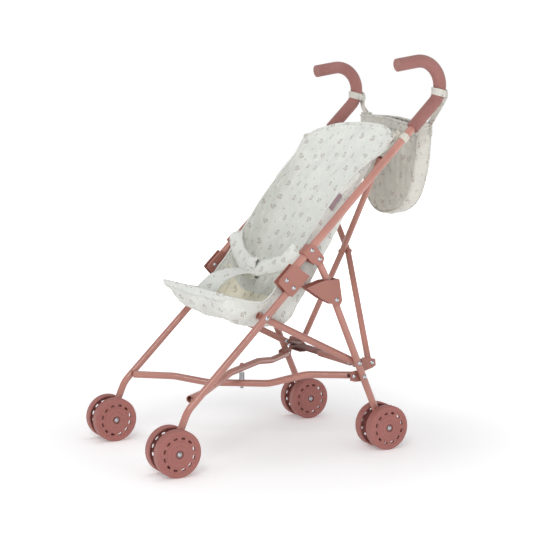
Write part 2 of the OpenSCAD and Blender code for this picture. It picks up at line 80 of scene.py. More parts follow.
# ---------------------------------------------------------------- materials
def nt(name):
    m = bpy.data.materials.new(name)
    m.use_nodes = True
    t = m.node_tree
    t.nodes.clear()
    out = t.nodes.new("ShaderNodeOutputMaterial")
    b = t.nodes.new("ShaderNodeBsdfPrincipled")
    t.links.new(b.outputs[0], out.inputs[0])
    return m, t, b
def node(t, kind, **kw):
    n = t.nodes.new(kind)
    for k, v in kw.items():
        if k.startswith("_"):
            setattr(n, k[1:], v)
    return n
def val(n, name, v):
    n.inputs[name].default_value = v
def math_(t, op, a, b=None, c=None, clamp=False):
    n = t.nodes.new("ShaderNodeMath")
    n.operation = op
    n.use_clamp = clamp
    for i, v in enumerate((a, b, c)):
        if v is None:
            continue
        if isinstance(v, (int, float)):
            n.inputs[i].default_value = v
        else:
            t.links.new(v, n.inputs[i])
    return n.outputs[0]
def vmath(t, op, a, b=None, scale=None):
    n = t.nodes.new("ShaderNodeVectorMath")
    n.operation = op
    for i, v in enumerate((a, b)):
        if v is None:
            continue
        if isinstance(v, (tuple, list)):
            n.inputs[i].default_value = v
        else:
            t.links.new(v, n.inputs[i])
    if scale is not None:
        n.inputs["Scale"].default_value = scale
    return n.outputs["Value"] if op in ("LENGTH", "DOT_PRODUCT", "DISTANCE") else n.outputs["Vector"]
def mix(t, fac, a, b, kind="MIX"):
    n = t.nodes.new("ShaderNodeMix")
    n.data_type = "RGBA"
    n.blend_type = kind
    if isinstance(fac, (int, float)):
        n.inputs[0].default_value = fac
    else:
        t.links.new(fac, n.inputs[0])
    for i, v in ((6, a), (7, b)):
        if isinstance(v, (tuple, list)):
            n.inputs[i].default_value = (*v[:3], 1)
        else:
            t.links.new(v, n.inputs[i])
    return n.outputs[2]
def coords(t, kind="Object"):
    return t.nodes.new("ShaderNodeTexCoord").outputs[kind]
def noise(t, vec, scale, detail=2.0, rough=0.5, out=0):
    n = t.nodes.new("ShaderNodeTexNoise")
    t.links.new(vec, n.inputs["Vector"])
    val(n, "Scale", scale); val(n, "Detail", detail); val(n, "Roughness", rough)
    return n.outputs[out]
def rmap(t, v, a, b, c, d):
    n = t.nodes.new("ShaderNodeMapRange")
    t.links.new(v, n.inputs[0])
    for i, q in enumerate((a, b, c, d)):
        n.inputs[i + 1].default_value = q
    return n.outputs[0]
def bump(t, b, h, strength, dist, prev=None):
    n = t.nodes.new("ShaderNodeBump")
    val(n, "Strength", strength); val(n, "Distance", dist)
    t.links.new(h, n.inputs["Height"])
    if prev is not None:
        t.links.new(prev, n.inputs["Normal"])
    t.links.new(n.outputs[0], b.inputs["Normal"])
    return n.outputs[0]

def paint(name, col, rough=0.42, dust=0.5, coat=0.25):
    m, t, b = nt(name)
    c = coords(t)
    big = noise(t, c, 9, 3)
    fine = noise(t, c, 900, 2)
    light = tuple(min(1, v * 1.12 + 0.01) for v in col)
    dark = tuple(v * 0.88 for v in col)
    t.links.new(mix(t, rmap(t, big, 0.3, 0.7, 0, 1), dark, light), b.inputs["Base Color"])
    t.links.new(rmap(t, noise(t, c, 60, 3), 0.3, 0.7, rough - 0.07, rough + 0.08), b.inputs["Roughness"])
    val(b, "Coat Weight", coat); val(b, "Coat Roughness", 0.18)
    val(b, "Specular IOR Level", 0.45)
    h = math_(t, "ADD", noise(t, c, 260, 2), math_(t, "MULTIPLY", fine, 0.4))
    bump(t, b, h, 0.12, 0.0004)
    return m
def srgb(r, g, b):
    return tuple((v / 12.92 if v <= 0.04045 else ((v + 0.055) / 1.055) ** 2.4) for v in (r / 255, g / 255, b / 255))

ROSE = srgb(173, 117, 104)
ROSE_D = srgb(155, 98, 85)
m_frame = paint("frame enamel", ROSE, 0.34, coat=0.5)
m_brack = paint("bracket enamel", ROSE_D, 0.45)
m_lock = paint("lock enamel", srgb(120, 70, 62), 0.5)

def plastic():
    m, t, b = nt("wheel plastic")
    c = coords(t)
    t.links.new(mix(t, rmap(t, noise(t, c, 14, 3), 0.3, 0.7, 0, 1), srgb(157, 98, 91), srgb(168, 108, 101)), b.inputs["Base Color"])
    t.links.new(rmap(t, noise(t, c, 90, 4), 0.3, 0.7, 0.42, 0.6), b.inputs["Roughness"])
    val(b, "Specular IOR Level", 0.4)
    bump(t, b, noise(t, c, 1400, 3), 0.25, 0.0003)
    return m
def foam():
    m, t, b = nt("grip foam")
    c = coords(t)
    v = t.nodes.new("ShaderNodeTexVoronoi")
    t.links.new(c, v.inputs["Vector"]); val(v, "Scale", 1100)
    t.links.new(mix(t, rmap(t, noise(t, c, 25, 4), 0.3, 0.7, 0, 1), srgb(140, 94, 88), srgb(156, 108, 102)), b.inputs["Base Color"])
    val(b, "Roughness", 0.82); val(b, "Specular IOR Level", 0.25); val(b, "Sheen Weight", 0.2)
    bump(t, b, v.outputs["Distance"], 0.35, 0.0004)
    return m
def steel():
    m, t, b = nt("zinc plated steel")
    c = coords(t)
    val(b, "Base Color", (0.50, 0.51, 0.53, 1)); val(b, "Metallic", 1.0)
    t.links.new(rmap(t, noise(t, c, 200, 4), 0.3, 0.7, 0.12, 0.26), b.inputs["Roughness"])
    bump(t, b, noise(t, c, 600, 2), 0.08, 0.0003)
    return m
m_wheel, m_foam, m_steel = plastic(), foam(), steel()

def cotton(name, base=(219, 221, 215), prints=True):
    """crinkled muslin with small sprigs; uv is in metres on the flat cloth"""
    m, t, b = nt(name)
    uv = coords(t, "UV")
    col = mix(t, rmap(t, noise(t, uv, 30, 3), 0.35, 0.65, 0, 1), srgb(*[v - 7 for v in base]), srgb(*base))
    # thread shade
    if prints:
        def layer(pitch, off, seed, kind):
            sc = 1.0 / pitch
            v = t.nodes.new("ShaderNodeTexVoronoi")
            v.voronoi_dimensions = "2D"
            p = vmath(t, "ADD", vmath(t, "SCALE", uv, scale=sc), off)
            t.links.new(p, v.inputs["Vector"])
            val(v, "Scale", 1.0); val(v, "Randomness", 0.42)
            d = vmath(t, "SUBTRACT", p, v.outputs["Position"])          # in cells
            # a turn of its own for every cell
            sep = t.nodes.new("ShaderNodeSeparateColor"); t.links.new(v.outputs["Color"], sep.inputs[0])
            ang = math_(t, "MULTIPLY", sep.outputs[0], 2.4)
            ang = math_(t, "ADD", ang, -1.2 + seed)
            r = t.nodes.new("ShaderNodeVectorRotate"); r.rotation_type = "Z_AXIS"
            t.links.new(d, r.inputs["Vector"]); t.links.new(ang, r.inputs["Angle"])
            q = vmath(t, "SCALE", r.outputs[0], scale=pitch * 1000 / 1.5)    # mm, sprig drawn one and a half times as large
            s = t.nodes.new("ShaderNodeSeparateXYZ"); t.links.new(q, s.inputs[0])
            return s.outputs[0], s.outputs[1], sep.outputs[1]
        def ell(x, y, cx, cy, rx, ry, ang=0.0):
            dx = math_(t, "SUBTRACT", x, cx); dy = math_(t, "SUBTRACT", y, cy)
            ca, sa = math.cos(ang), math.sin(ang)
            u = math_(t, "DIVIDE", math_(t, "ADD", math_(t, "MULTIPLY", dx, ca), math_(t, "MULTIPLY", dy, sa)), rx)
            w = math_(t, "DIVIDE", math_(t, "SUBTRACT", math_(t, "MULTIPLY", dy, ca), math_(t, "MULTIPLY", dx, sa)), ry)
            d = math_(t, "ADD", math_(t, "MULTIPLY", u, u), math_(t, "MULTIPLY", w, w))
            return rmap(t, d, 0.75, 1.25, 1, 0)
        def union(vals):
            a = vals[0]
            for v in vals[1:]:
                a = math_(t, "MAXIMUM", a, v)
            return a
        x, y, k = layer(0.026, (0.13, 0.27, 0), 0.0, 0)
        stems = union([ell(x, y, 0.0, -0.6, 0.22, 2.6, 0.0), ell(x, y, -1.0, 0.7, 0.2, 1.5, 0.75), ell(x, y, 1.0, 0.5, 0.2, 1.4, -0.8)])
        leaves = union([ell(x, y, -1.0, -1.4, 0.5, 1.15, 0.9), ell(x, y, 1.1, -1.9, 0.5, 1.1, -0.9), ell(x, y, 1.9, 0.0, 0.4, 0.8, -1.3)])
        blooms = union([ell(x, y, 0.1, 2.3, 0.95, 0.8), ell(x, y, -2.1, 1.8, 0.75, 0.65, 0.6), ell(x, y, 2.0, 1.6, 0.7, 0.6, -0.6)])
        x2, y2, k2 = layer(0.026, (0.63, 0.77, 0), 1.4, 1)
        buds = union([ell(x2, y2, 0, 0.5, 0.6, 0.6), ell(x2, y2, 0.3, -0.9, 0.22, 1.0, 0.3), ell(x2, y2, -0.7, -0.9, 0.32, 0.7, 0.8)])
        fade = rmap(t, noise(t, uv, 900, 2), 0.35, 0.65, 0.62, 1.0)
        col = mix(t, math_(t, "MULTIPLY", math_(t, "MULTIPLY", stems, 0.75), fade), col, srgb(118, 108, 100))
        col = mix(t, math_(t, "MULTIPLY", math_(t, "MULTIPLY", leaves, 0.8), fade), col, srgb(122, 120, 106))
        col = mix(t, math_(t, "MULTIPLY", math_(t, "MULTIPLY", blooms, 0.85), fade), col, srgb(146, 106, 106))
        col = mix(t, math_(t, "MULTIPLY", math_(t, "MULTIPLY", buds, 0.7), fade), col, srgb(132, 104, 100))
    # open weave
    sx = t.nodes.new("ShaderNodeSeparateXYZ"); t.links.new(uv, sx.inputs[0])
    wx = math_(t, "SINE", math_(t, "MULTIPLY", sx.outputs[0], 2 * math.pi / 0.0009))
    wy = math_(t, "SINE", math_(t, "MULTIPLY", sx.outputs[1], 2 * math.pi / 0.0009))
    weave = math_(t, "MULTIPLY", wx, wy)
    col = mix(t, rmap(t, weave, -1, 1, 0.10, 0.0), col, srgb(198, 196, 188))
    t.links.new(col, b.inputs["Base Color"])
    val(b, "Roughness", 0.88); val(b, "Specular IOR Level", 0.2)
    val(b, "Sheen Weight", 0.25); val(b, "Sheen Roughness", 0.6)
    # crinkle: stretched cells plus fine ones
    mp = vmath(t, "MULTIPLY", uv, (1.0, 0.45, 1.0))
    crink = t.nodes.new("ShaderNodeTexVoronoi"); crink.feature = "SMOOTH_F1"
    wob = vmath(t, "ADD", mp, vmath(t, "SCALE", noise(t, uv, 60, 2, 0.5, 1), scale=0.012))
    t.links.new(wob, crink.inputs["Vector"]); val(crink, "Scale", 170); val(crink, "Smoothness", 0.7)
    n1 = bump(t, b, crink.outputs["Distance"], 0.75, 0.0022)
    n2 = bump(t, b, noise(t, uv, 95, 4, 0.6), 0.7, 0.0022, n1)
    bump(t, b, weave, 0.12, 0.0002, n2)
    return m
m_cotton = cotton("sling cotton")
m_bag = cotton("bag cotton", (205, 203, 194))
m_plain = cotton("binding cotton", (220, 221, 215), prints=False)
# paler, warmer cotton, used on the inner face of the seat
m_seat_inner_tint = cotton("seat inner tint cotton", (240, 236, 219))

def ribbed(name, col, pitch=0.0011, rough=0.85):
    m, t, b = nt(name)
    uv = coords(t, "UV")
    s = t.nodes.new("ShaderNodeSeparateXYZ"); t.links.new(uv, s.inputs[0])
    a = math_(t, "SINE", math_(t, "MULTIPLY", s.outputs[0], 2 * math.pi / pitch))
    c = math_(t, "SINE", math_(t, "MULTIPLY", s.outputs[1], 2 * math.pi / (pitch * 0.6)))
    w = math_(t, "ADD", a, math_(t, "MULTIPLY", c, 0.5))
    t.links.new(mix(t, rmap(t, w, -1.5, 1.5, 0, 1), tuple(v * 0.82 for v in col), col), b.inputs["Base Color"])
    val(b, "Roughness", rough); val(b, "Sheen Weight", 0.3)
    bump(t, b, w, 0.5, 0.0003)
    return m
m_elastic = ribbed("elastic", srgb(222, 216, 203))
m_label = ribbed("woven label", srgb(158, 132, 139), 0.0013)
m_thread, _t, _b = nt("thread")
val(_b, "Base Color", (*srgb(226, 224, 216), 1)); val(_b, "Roughness", 0.7)
_c = coords(_t); bump(_t, _b, noise(_t, _c, 2500, 2), 0.4, 0.0002)
# flat dark red-brown painted shade meant for recesses and gaps; not assigned to any object in this script
m_recess_painted_shade, _t, _b = nt("painted recess shade")
val(_b, "Base Color", (*srgb(88, 44, 42), 1));
_c = coords(_t); _t.links.new(rmap(_t, noise(_t, _c, 80, 3), 0.3, 0.7, 0.6, 0.85), _b.inputs["Roughness"])

by_slot = {"frame_paint": m_frame, "bracket_paint": m_brack, "lock_paint": m_lock, "wheel_plastic": m_wheel, "grip_foam": m_foam,
           "rivet_steel": m_steel, "sling_cotton": m_cotton, "bag_cotton": m_bag, "elastic": m_elastic, "label_cloth": m_label}
slot_of = {s["node"]: s["material_slot"] for s in rec["subparts"]}
for n, o in nodes.items():
    m = by_slot[slot_of[n]]
    if not o.material_slots:
        o.data.materials.append(m)
    for s in o.material_slots:
        s.material = m

# ---------------------------------------------------------------- mesh helpers (all in metres, row frame)
def mesh(name, verts, faces, mat, smooth=True, uvs=None):
    me = bpy.data.meshes.new(name)
    me.from_pydata([tuple(v) for v in verts], [], [tuple(f) for f in faces])
    me.update()
    if smooth:
        me.polygons.foreach_set("use_smooth", [True] * len(me.polygons))
    o = bpy.data.objects.new(name, me)
    bpy.context.scene.collection.objects.link(o)
    me.materials.append(mat)
    if uvs is not None:
        l = me.uv_layers.new(name="UVMap")
        idx = np.empty(len(me.loops), dtype=np.int32)
        me.loops.foreach_get("vertex_index", idx)
        l.data.foreach_set("uv", np.asarray(uvs, dtype=np.float32)[idx].ravel())
    return o
def grid_faces(nu, nv, close_u=False, close_v=False):
    f = []
    for j in range(nv - (0 if close_v else 1)):
        for i in range(nu - (0 if close_u else 1)):
            a = j * nu + i; b_ = j * nu + (i + 1) % nu
            c = ((j + 1) % nv) * nu + (i + 1) % nu; d = ((j + 1) % nv) * nu + i
            f.append((a, b_, c, d))
    return f
def arc_uv(P):
    """uv in metres from mean arc lengths of a (nv, nu, 3) grid"""
    du = np.linalg.norm(np.diff(P, axis=1), axis=2)
    dv = np.linalg.norm(np.diff(P, axis=0), axis=2)
    u = np.concatenate([np.zeros((P.shape[0], 1)), np.cumsum(du, axis=1)], axis=1)
    u -= u[:, -1:] / 2
    v = np.concatenate([[0], np.cumsum(dv.mean(axis=1))])
    return np.stack([u, np.repeat(v[:, None], P.shape[1], axis=1)], axis=2)
def thick_sheet(name, P, mat, t, uv=None, round_edge=True):
    """sheet of even thickness from a (nv, nu, 3) grid, closed all round"""
    nv, nu = P.shape[:2]
    du = np.gradient(P, axis=1); dv = np.gradient(P, axis=0)
    n = np.cross(du, dv); n /= np.linalg.norm(n, axis=2, keepdims=True) + 1e-12
    uv = arc_uv(P) if uv is None else uv
    A = (P + n * t / 2).reshape(-1, 3); B = (P - n * t / 2).reshape(-1, 3)
    F = grid_faces(nu, nv)
    G = [tuple(q + nv * nu for q in reversed(f)) for f in F]
    ring = [i for i in range(nu)] + [j * nu + nu - 1 for j in range(1, nv)] + [(nv - 1) * nu + i for i in range(nu - 2, -1, -1)] + [j * nu for j in range(nv - 2, 0, -1)]
    S = []
    for k in range(len(ring)):
        a, c = ring[k], ring[(k + 1) % len(ring)]
        S.append((a, a + nv * nu, c + nv * nu, c))
    U_ = uv.reshape(-1, 2)
    return mesh(name, np.vstack([A, B]), F + G + S, mat, uvs=np.vstack([U_, U_]))
def frames(path):
    """tangent and two normals along a path, parallel transported"""
    T = np.gradient(path, axis=0); T /= np.linalg.norm(T, axis=1, keepdims=True)
    a = np.array([0, 0, 1.0]) if abs(T[0][2]) < 0.9 else np.array([1.0, 0, 0])
    n = a - a.dot(T[0]) * T[0]; n /= np.linalg.norm(n)
    Ns = [n]
    for k in range(1, len(path)):
        n = n - n.dot(T[k]) * T[k]; n /= np.linalg.norm(n); Ns.append(n)
    Ns = np.array(Ns)
    return T, Ns, np.cross(T, Ns)
def smooth_path(pts, n, closed=False):
    """Catmull-Rom through pts, n samples even in length"""
    p = np.array(pts, float)
    q = np.vstack([p[-1], p, p[0], p[1]]) if closed else np.vstack([2 * p[0] - p[1], p, 2 * p[-1] - p[-2]])
    out = []
    for i in range(1, len(q) - 2):
        for s in np.linspace(0, 1, 24, endpoint=False):
            a, b_, c, d = q[i - 1], q[i], q[i + 1], q[i + 2]
            out.append(0.5 * ((2 * b_) + (c - a) * s + (2 * a - 5 * b_ + 4 * c - d) * s ** 2 + (3 * b_ - a - 3 * c + d) * s ** 3))
    out.append(q[-2]); out = np.array(out)
    L = np.concatenate([[0], np.cumsum(np.linalg.norm(np.diff(out, axis=0), axis=1))])
    s = np.linspace(0, L[-1], n)
    return np.stack([np.interp(s, L, out[:, k]) for k in range(out.shape[1])], 1)
def tube_along(name, path, r, mat, seg=10, flat=1.0, up=None, caps=True, rip=0.0, ripn=40):
    """round or flattened roll along a path"""
    path = np.asarray(path)
    T, A, B = frames(path)
    if up is not None:
        A = up - (up * T).sum(1, keepdims=True) * T; A /= np.linalg.norm(A, axis=1, keepdims=True); B = np.cross(T, A)
    th = np.linspace(0, 2 * np.pi, seg, endpoint=False)
    L = np.concatenate([[0], np.cumsum(np.linalg.norm(np.diff(path, axis=0), axis=1))])
    rr = r * (1 + rip * np.sin(np.linspace(0, ripn * 2 * np.pi, len(path))))
    V = np.array([[path[k] + rr[k] * (np.cos(q) * A[k] * flat + np.sin(q) * B[k]) for q in th] for k in range(len(path))])
    uv = np.array([[(q * r, L[k]) for q in th] for k in range(len(path))]).reshape(-1, 2)
    F = grid_faces(seg, len(path), close_u=True)
    V = V.reshape(-1, 3)
    if caps:
        n0 = len(V); V = np.vstack([V, path[0], path[-1]]); uv = np.vstack([uv, uv[0], uv[-1]])
        F += [(n0, (i + 1) % seg, i) for i in range(seg)] + [(n0 + 1, (len(path) - 1) * seg + i, (len(path) - 1) * seg + (i + 1) % seg) for i in range(seg)]
    return mesh(name, V, F, mat, uvs=uv)
def ribbon(name, path, width_dir, w, t, mat, wave=0.0, seg=9, crown=0.0):
    """flat strap: path in metres, width direction per point, slightly wavy edges"""
    path = np.asarray(path); n = len(path)
    Wd = np.asarray(width_dir, float)
    if Wd.ndim == 1:
        Wd = np.repeat(Wd[None], n, 0)
    T = np.gradient(path, axis=0); T /= np.linalg.norm(T, axis=1, keepdims=True)
    Wd = Wd - (Wd * T).sum(1, keepdims=True) * T; Wd /= np.linalg.norm(Wd, axis=1, keepdims=True)
    Nn = np.cross(T, Wd)
    s = np.linspace(-1, 1, seg)
    k = np.arange(n)
    w = np.asarray(w) + np.zeros(n)
    ww = w * (1 + wave * np.sin(k * 0.55 + 1.0) + wave * 0.6 * np.sin(k * 0.23))
    P = path[:, None] + Wd[:, None] * (s[None, :, None] * ww[:, None, None] / 2) + Nn[:, None] * (crown * (1 - s[None, :, None] ** 2))
    P += Nn[:, None] * ((wave * w * 0.18 * np.sin(k * 0.8))[:, None, None] * s[None, :, None])
    return thick_sheet(name, P, mat, t), P
def stitches(name, path, nrm, mat, step=0.0042, ln=0.0026, r=0.00028):
    """row of small stitches laid along a path, standing on its surface"""
    path = np.asarray(path); nrm = np.asarray(nrm, float)
    L = np.concatenate([[0], np.cumsum(np.linalg.norm(np.diff(path, axis=0), axis=1))])
    if nrm.ndim == 1:
        nrm = np.repeat(nrm[None], len(path), 0)
    V, F = [], []
    s = step / 2
    while s + ln < L[-1]:
        a = np.array([np.interp(s, L, path[:, k]) for k in range(3)]); c = np.array([np.interp(s + ln, L, path[:, k]) for k in range(3)])
        n = np.array([np.interp(s, L, nrm[:, k]) for k in range(3)]); n /= np.linalg.norm(n)
        d = (c - a) / np.linalg.norm(c - a); sd = np.cross(d, n)
        b0 = len(V)
        for q, h in ((0, 0.1), (0.25, 0.8), (0.5, 1.0), (0.75, 0.8), (1, 0.1)):
            p = a + (c - a) * q
            V += [p - sd * r, p + n * r * 1.6 * h, p + sd * r]
        for k in range(4):
            F += [(b0 + k * 3, b0 + k * 3 + 1, b0 + k * 3 + 4, b0 + k * 3 + 3), (b0 + k * 3 + 1, b0 + k * 3 + 2, b0 + k * 3 + 5, b0 + k * 3 + 4)]
        s += step
    return mesh(name, V, F, mat)
def waves(P, seed, lam, amp, n=14):
    """smooth pseudo-random field over points (in metres)"""
    g = np.random.default_rng(seed)
    out = np.zeros(P.shape[:-1])
    for _ in range(n):
        d = g.normal(size=P.shape[-1]); d /= np.linalg.norm(d)
        l = lam * g.uniform(0.6, 1.7)
        out += np.sin(P @ d * 2 * np.pi / l + g.uniform(0, 6.28))
    return amp * out / math.sqrt(n)

# ---------------------------------------------------------------- sling
C = [(189, 460), (176, 438), (160, 410), (144, 386), (127, 356), (109, 323), (91, 291), (76, 266), (62, 242), (48, 222), (34, 202), (20, 187.5), (2, 184.5), (-20, 183.5), (-42, 185), (-58, 191), (-72, 200), (-80, 211), (-83, 222), (-82, 230.5)]
E = [(182, 435), (166, 420), (141, 406), (112, 384), (92, 362), (76, 343), (59.5, 320), (47, 303), (36, 287), (25, 271), (14, 257), (6, 248), (-1, 239), (-10, 227), (-24, 218), (-43, 220), (-60, 224), (-72, 227), (-79, 229), (-82, 230)]
EF = [(157, 442), (149, 433), (137, 414), (114, 389), (93, 364)] + E[5:]
XE = [100, 99.5, 99, 99, 98.5, 98, 97, 96.5, 96.5, 96.5, 96, 96, 96, 96, 96, 97, 98, 99, 99, 99]
BOX = [0.6, 0.8, 0.95, 1.0, 1.0, 0.95, 0.9, 0.85, 0.85, 0.9, 0.9, 0.9, 0.9, 0.9, 0.9, 0.85, 0.8, 0.7, 0.6, 0.5]
NV, NU = 150, 121
sl_n = np.linspace(-1, 1, NU)
tt = np.linspace(0, 1, len(C)); ts = np.linspace(0, 1, NV)
def res(a):
    a = np.array(a, float)
    if a.ndim == 1:
        a = a[:, None]
    p = smooth_path(np.column_stack([np.arange(len(a)) * 1.0, a]), 600)
    return np.stack([np.interp(ts * (len(a) - 1), p[:, 0], p[:, k + 1]) for k in range(a.shape[1])], 1)
Cc, Ee, Ef, Xx, Bb = res(C), res(E), res(EF), res(XE)[:, 0], res(BOX)[:, 0]
P = np.zeros((NV, NU, 3))
for j in range(NV):
    D = np.linalg.norm(Ee[j] - Cc[j]); X = Xx[j]
    sd = np.linspace(-1, 1, NU)
    r = max(2.0, min(26.0 * (1.35 - Bb[j]) + 8, D * 0.98, X * 0.5))
    if D < 1: r = D
    # half section: flat part, arc, wall
    pts = [(0.0, 0.0)]
    flat = X - r - 1.0
    for k in range(1, 9): pts.append((flat * k / 8, 0.6 * (k / 8) ** 2))
    for k in range(1, 13):
        a = k / 12 * math.pi / 2
        pts.append((flat + (r) * math.sin(a), 0.6 + (r - 0.6) * (1 - math.cos(a))))
    pts.append((X, max(D, pts[-1][1] + 0.05)))
    pts = np.array(pts)
    L = np.concatenate([[0], np.cumsum(np.linalg.norm(np.diff(pts, axis=0), axis=1))])
    s = np.abs(np.linspace(-1, 1, NU)) * L[-1]
    xx = np.interp(s, L, pts[:, 0]) * np.sign(np.linspace(-1, 1, NU)); dd = np.interp(s, L, pts[:, 1])
    w = dd / max(D, 1e-6)
    edge_pt = np.where(sd[:, None] > 0, Ee[j][None], Ef[j][None])
    yz = Cc[j][None] + (edge_pt - Cc[j][None]) * w[:, None]
    P[j] = np.stack([xx, yz[:, 0], yz[:, 1]], 1)
# the far front corner hangs less deep
lift = 11.0 * np.clip((-P[..., 0] - 8) / 85, 0, 1) ** 1.2 * np.clip((ts - 0.80) / 0.10, 0, 1)[:, None] * np.clip((226 - P[..., 2]) / 16, 0, 1)
P[..., 2] += lift
# the top hem is cut to a round line of its own
TOP = np.array([(-98, 157, 442.5), (-85, 168, 450), (-70, 176, 454), (-50, 183, 458.5), (-25, 187, 460.5), (0, 189, 460), (25, 190, 459.5), (50, 190, 458), (70, 189, 454.5), (85, 187, 447), (95, 184, 438), (100, 182, 435)], float)
top_line = smooth_path(TOP, NU)
shift = top_line - P[0]
for j in range(26):
    k = 1 - j / 26
    P[j] += shift * (k * k * (3 - 2 * k))
# folds: soft ones down the back, small crumples where the seat turns
du = np.gradient(P, axis=1); dv = np.gradient(P, axis=0)
nn = np.cross(du, dv); nn /= np.linalg.norm(nn, axis=2, keepdims=True)
uvm = arc_uv(P / 1000)
S3 = np.stack([uvm[..., 0] * 1.0, uvm[..., 1] * 0.33], -1)
fold = waves(S3, 3, 0.055, 2.1, 10) + waves(np.stack([uvm[..., 0], uvm[..., 1] * 0.6], -1), 5, 0.03, 1.0, 14) + waves(uvm, 9, 0.013, 0.4, 18)
bend = np.exp(-((ts - 0.60) / 0.10) ** 2)[:, None]
fold += bend * waves(np.stack([uvm[..., 0] * 0.5, uvm[..., 1] * 1.2], -1), 11, 0.03, 1.3, 10)
edge = 1 - np.abs(np.linspace(-1, 1, NU))[None]
keep = np.clip(edge * 12, 0.25, 1)
fold *= keep
back_zone = np.clip(ts / 0.04, 0, 1)[:, None] * np.clip((1 - ts) / 0.05, 0.2, 1)[:, None]
fold *= back_zone
# the walls stay inside the frame tubes
lim = np.where(np.abs(P[..., 0]) > 88, 0.35, 1.0)
P = P + nn * (fold * lim)[..., None]
# gathered hem line at the top
P[..., 2] += (np.clip(1 - ts / 0.05, 0, 1)[:, None] * (0.5 * np.sin(np.linspace(-1, 1, NU) * 9 + 0.6))[None])
P[..., 0] = np.clip(P[..., 0], -100, 100)
Pm = P.copy(); Pm[..., 1] += Y0; Pm /= 1000
uv_s = arc_uv(Pm)
sling = thick_sheet("sling_sheet", Pm, m_cotton, 0.0011, uv_s)
# slot 1, the paler warm tint, goes on the inner face from the bend of the back over the seat to near the front hem,
# short of the side edges
sling.data.materials.append(m_seat_inner_tint)
for k in range((NU - 1) * (NV - 1)):
    jj, ii = divmod(k, NU - 1)
    if 0.50 < ts[jj] < 0.955 and abs(sl_n[ii]) < 0.93:
        sling.data.polygons[(NU - 1) * (NV - 1) + k].material_index = 1

def hem_of(row, name, w=0.013, t=0.0009, off=0.0012, stitch=True):
    """does nothing: no hem is built; row (a list of grid indices) and the other arguments are not used"""
    pass
# rolled edges: top hem, front hem and both side bindings
nrm = np.cross(np.gradient(Pm, axis=1), np.gradient(Pm, axis=0)); nrm /= np.linalg.norm(nrm, axis=2, keepdims=True)
soft = []
def band(name, sl, mat, t=0.0013, lift=0.0009):
    Q = Pm[sl] + nrm[sl] * lift
    return thick_sheet(name, Q, mat, t, uv_s[sl])
for sg, nm in ((1, "outer"), (-1, "inner")):
    soft.append(band(f"front_hem_{nm}", (slice(NV - 9, NV), slice(1, NU - 1)), m_cotton, 0.0012, 0.0011 * sg))
soft.append(tube_along("top_hem_fold", Pm[0], 0.0021, m_cotton, 10))
soft.append(tube_along("front_hem_fold", Pm[-1], 0.0023, m_cotton, 10))
for s, i in (("left", -1), ("right", 0)):
    soft.append(tube_along(f"side_binding_{s}", Pm[:, i], 0.0016, m_plain, 8))
    k = NU - 4 if i == -1 else 3
    soft.append(stitches(f"side_stitch_{s}", Pm[2:-2, k] + nrm[2:-2, k] * 0.0007 * (1), nrm[2:-2, k], m_thread))
    soft.append(stitches(f"side_stitch_in_{s}", Pm[2:-2, k] - nrm[2:-2, k] * 0.0007, -nrm[2:-2, k], m_thread))
for j, nm in ((3, "top"), (NV - 10, "front")):
    for sg in (1, -1):
        soft.append(stitches(f"{nm}_stitch_{'a' if sg > 0 else 'b'}", Pm[j, 3:-3] + nrm[j, 3:-3] * 0.0008 * sg, nrm[j, 3:-3] * sg, m_thread))

# woven label on the near edge, blank
jl = int(np.argmin(np.linalg.norm(Pm[:, -1, 1:] - W(0, 81, 350)[1:], axis=1)))
el_ = np.concatenate([[0], np.cumsum(np.linalg.norm(np.diff(Pm[:, -1], axis=0), axis=1))])
lq = np.linspace(el_[jl] - 0.018, el_[jl] + 0.006, 14)
lab_p = np.stack([np.interp(lq, el_, Pm[:, -1, k]) for k in range(3)], 1) + np.array([0.0022, 0, 0])
lab_i = np.stack([np.interp(lq, el_, Pm[:, -7, k]) for k in range(3)], 1)
inw = lab_i - lab_p; inw[:, 0] = 0; inw /= np.linalg.norm(inw, axis=1, keepdims=True)
lab_mid = lab_p + inw * 0.0042
label, LP = ribbon("woven_label", lab_mid, inw, 0.0068, 0.0010, m_label, 0.0)
lab_st = stitches("label_stitch", lab_mid + inw * 0.0026 + np.array([0.0006, 0, 0]), np.array([1.0, 0, 0]), m_thread, 0.003, 0.0018, 0.0002)
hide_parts("label_patch")

# ---------------------------------------------------------------- straps
def pth(pts, n=40):
    return np.array([W(*p) for p in smooth_path(pts, n)])
waist_pts = [(-101, 38, 296), (-97, 35, 290), (-86, 31, 277), (-68, 27, 267), (-42, 20, 260), (-14, 11, 256), (14, 6, 255), (34, 9, 257), (56, 14, 262), (78, 18, 268), (92, 24, 278), (98, 32, 287)]
wp = pth(waist_pts, 90)
wd_ = np.linspace(0, 1, 90)
far_ = np.clip(1 - wd_ / 0.28, 0, 1)[:, None]
wdir = np.stack([0.25 * np.sin(wd_ * 5), 0.5 - 0.35 * np.cos(wd_ * 6.3), np.ones(90)], 1) * (1 - far_) + np.array([0.75, 0.45, 0.45]) * far_
waist, WP = ribbon("waist_strap", wp, wdir, 0.0255, 0.0022, m_cotton, 0.03, 11, 0.0022)
wn = np.cross(np.gradient(WP, axis=0), np.gradient(WP, axis=1)); wn /= np.linalg.norm(wn, axis=2, keepdims=True)
ws = [stitches(f"waist_stitch_{k}_{n}", WP[2:-2, c] + wn[2:-2, c] * 0.0012 * sg, wn[2:-2, c] * sg, m_thread) for k, c in enumerate((1, 9)) for n, sg in (("a", 1), ("b", -1))]
cr_pts = [(3, -68, 214), (3, -64, 224), (3, -54, 235), (4, -40, 245), (6, -22, 250.5), (8, -6, 251), (10, 3, 249)]
cp = pth(cr_pts, 60)
cw_ = np.linspace(0, 1, 60)
cdir = np.stack([np.ones(60), 0.12 * np.sin(cw_ * 4), -0.32 + 0.25 * cw_], 1)
